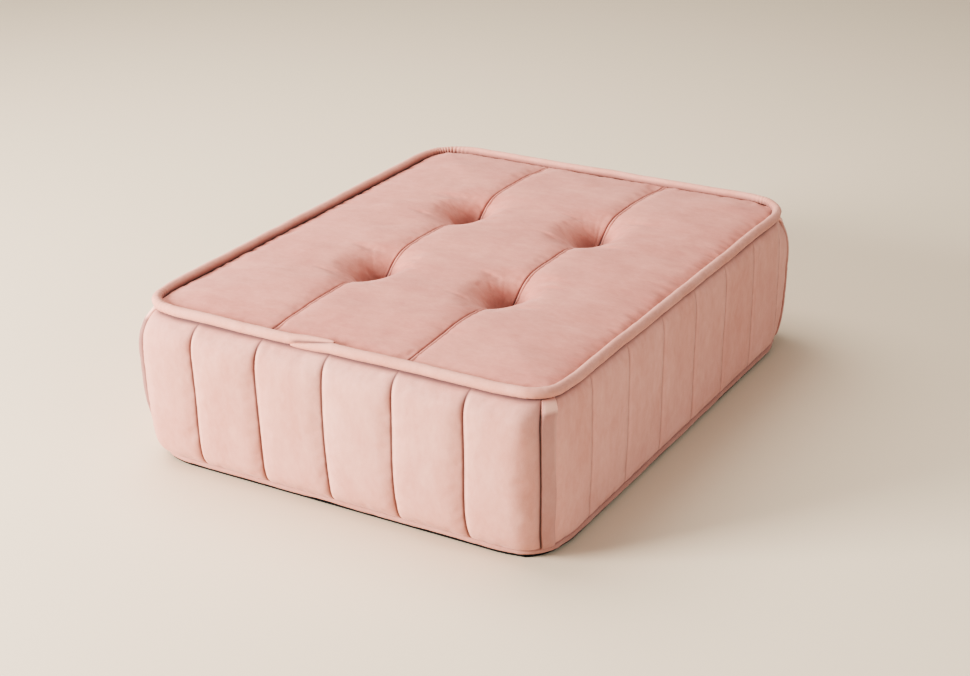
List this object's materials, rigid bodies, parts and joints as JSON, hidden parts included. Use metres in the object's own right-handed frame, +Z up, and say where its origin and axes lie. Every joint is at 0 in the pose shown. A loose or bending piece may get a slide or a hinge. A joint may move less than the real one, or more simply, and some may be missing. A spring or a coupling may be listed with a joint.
{
  "type": "floor cushion",
  "caption": "Low rectangular floor cushion: foam block in a piped velvet cover with quilted side channels, blind-tufted top, non-slip base and a zip along the back.",
  "frame": {"origin": "centre of the underside, on the floor", "axes": "+Z up, X across the width, +Y towards the back, so the front wall faces -Y"},
  "size_m": [0.6174, 0.8074, 0.2243],
  "materials": {
    "velvet": "short-pile velvet in a warm blush pink, soft nap sheen",
    "wadding": "fluffy white polyester wadding",
    "comfort_foam": "open-cell polyurethane foam, soft, cream",
    "core_foam": "open-cell polyurethane foam, firm, pale yellow",
    "base_foam": "rebonded dense foam, grey blue",
    "piping_cord": "soft twisted cotton piping cord, off white",
    "bottom_fabric": "black non-slip fabric, matte",
    "twine": "waxed tufting twine, cream",
    "webbing": "cotton webbing, cream",
    "washer": "moulded white nylon, satin",
    "zip_tape": "woven polyester zip tape with a nylon coil, dusty pink",
    "zip_metal": "nickel-plated zinc, satin"
  },
  "bodies": {
    "cushion": {"top_panel_left": "velvet", "top_panel_centre": "velvet", "top_panel_right": "velvet", "front_boxing": "velvet", "right_boxing": "velvet", "back_boxing": "velvet", "left_boxing": "velvet", "back_zip_band": "velvet", "zip_end_tab_left": "velvet", "zip_end_tab_right": "velvet", "top_piping_sleeve": "velvet", "bottom_piping_sleeve": "velvet", "corner_flange_front_left": "velvet", "corner_flange_front_right": "velvet", "corner_flange_back_left": "velvet", "corner_flange_back_right": "velvet", "top_wadding": "wadding", "front_wadding": "wadding", "right_wadding": "wadding", "back_wadding": "wadding", "left_wadding": "wadding", "top_piping_cord": "piping_cord", "bottom_piping_cord": "piping_cord", "bottom_panel": "bottom_fabric", "foam_comfort_layer": "comfort_foam", "foam_core": "core_foam", "foam_base_layer": "base_foam", "tuft_loop_front_left": "webbing", "tuft_cord_front_left": "twine", "tuft_washer_front_left": "washer", "tuft_loop_front_right": "webbing", "tuft_cord_front_right": "twine", "tuft_washer_front_right": "washer", "tuft_loop_back_left": "webbing", "tuft_cord_back_left": "twine", "tuft_washer_back_left": "washer", "tuft_loop_back_right": "webbing", "tuft_cord_back_right": "twine", "tuft_washer_back_right": "washer", "zip_tape_upper": "zip_tape", "zip_tape_lower": "zip_tape", "zip_top_stop_upper": "zip_metal", "zip_top_stop_lower": "zip_metal", "zip_bottom_stop": "zip_metal"},
    "slider": {"zip_slider": "zip_metal"},
    "pull": {"zip_pull": "zip_metal"}
  },
  "joints": [
    {"name": "zip_slide", "type": "slide", "parent": "cushion", "child": "slider", "axis": [-1, 0, 0], "range_m": [0, 0.495]},
    {"name": "pull_swing", "type": "hinge", "parent": "slider", "child": "pull", "pos_m": [0.248, 0.3925, 0.02698], "axis": [0, -0.2577, -0.9662], "range_deg": [0, 170]}
  ]
}
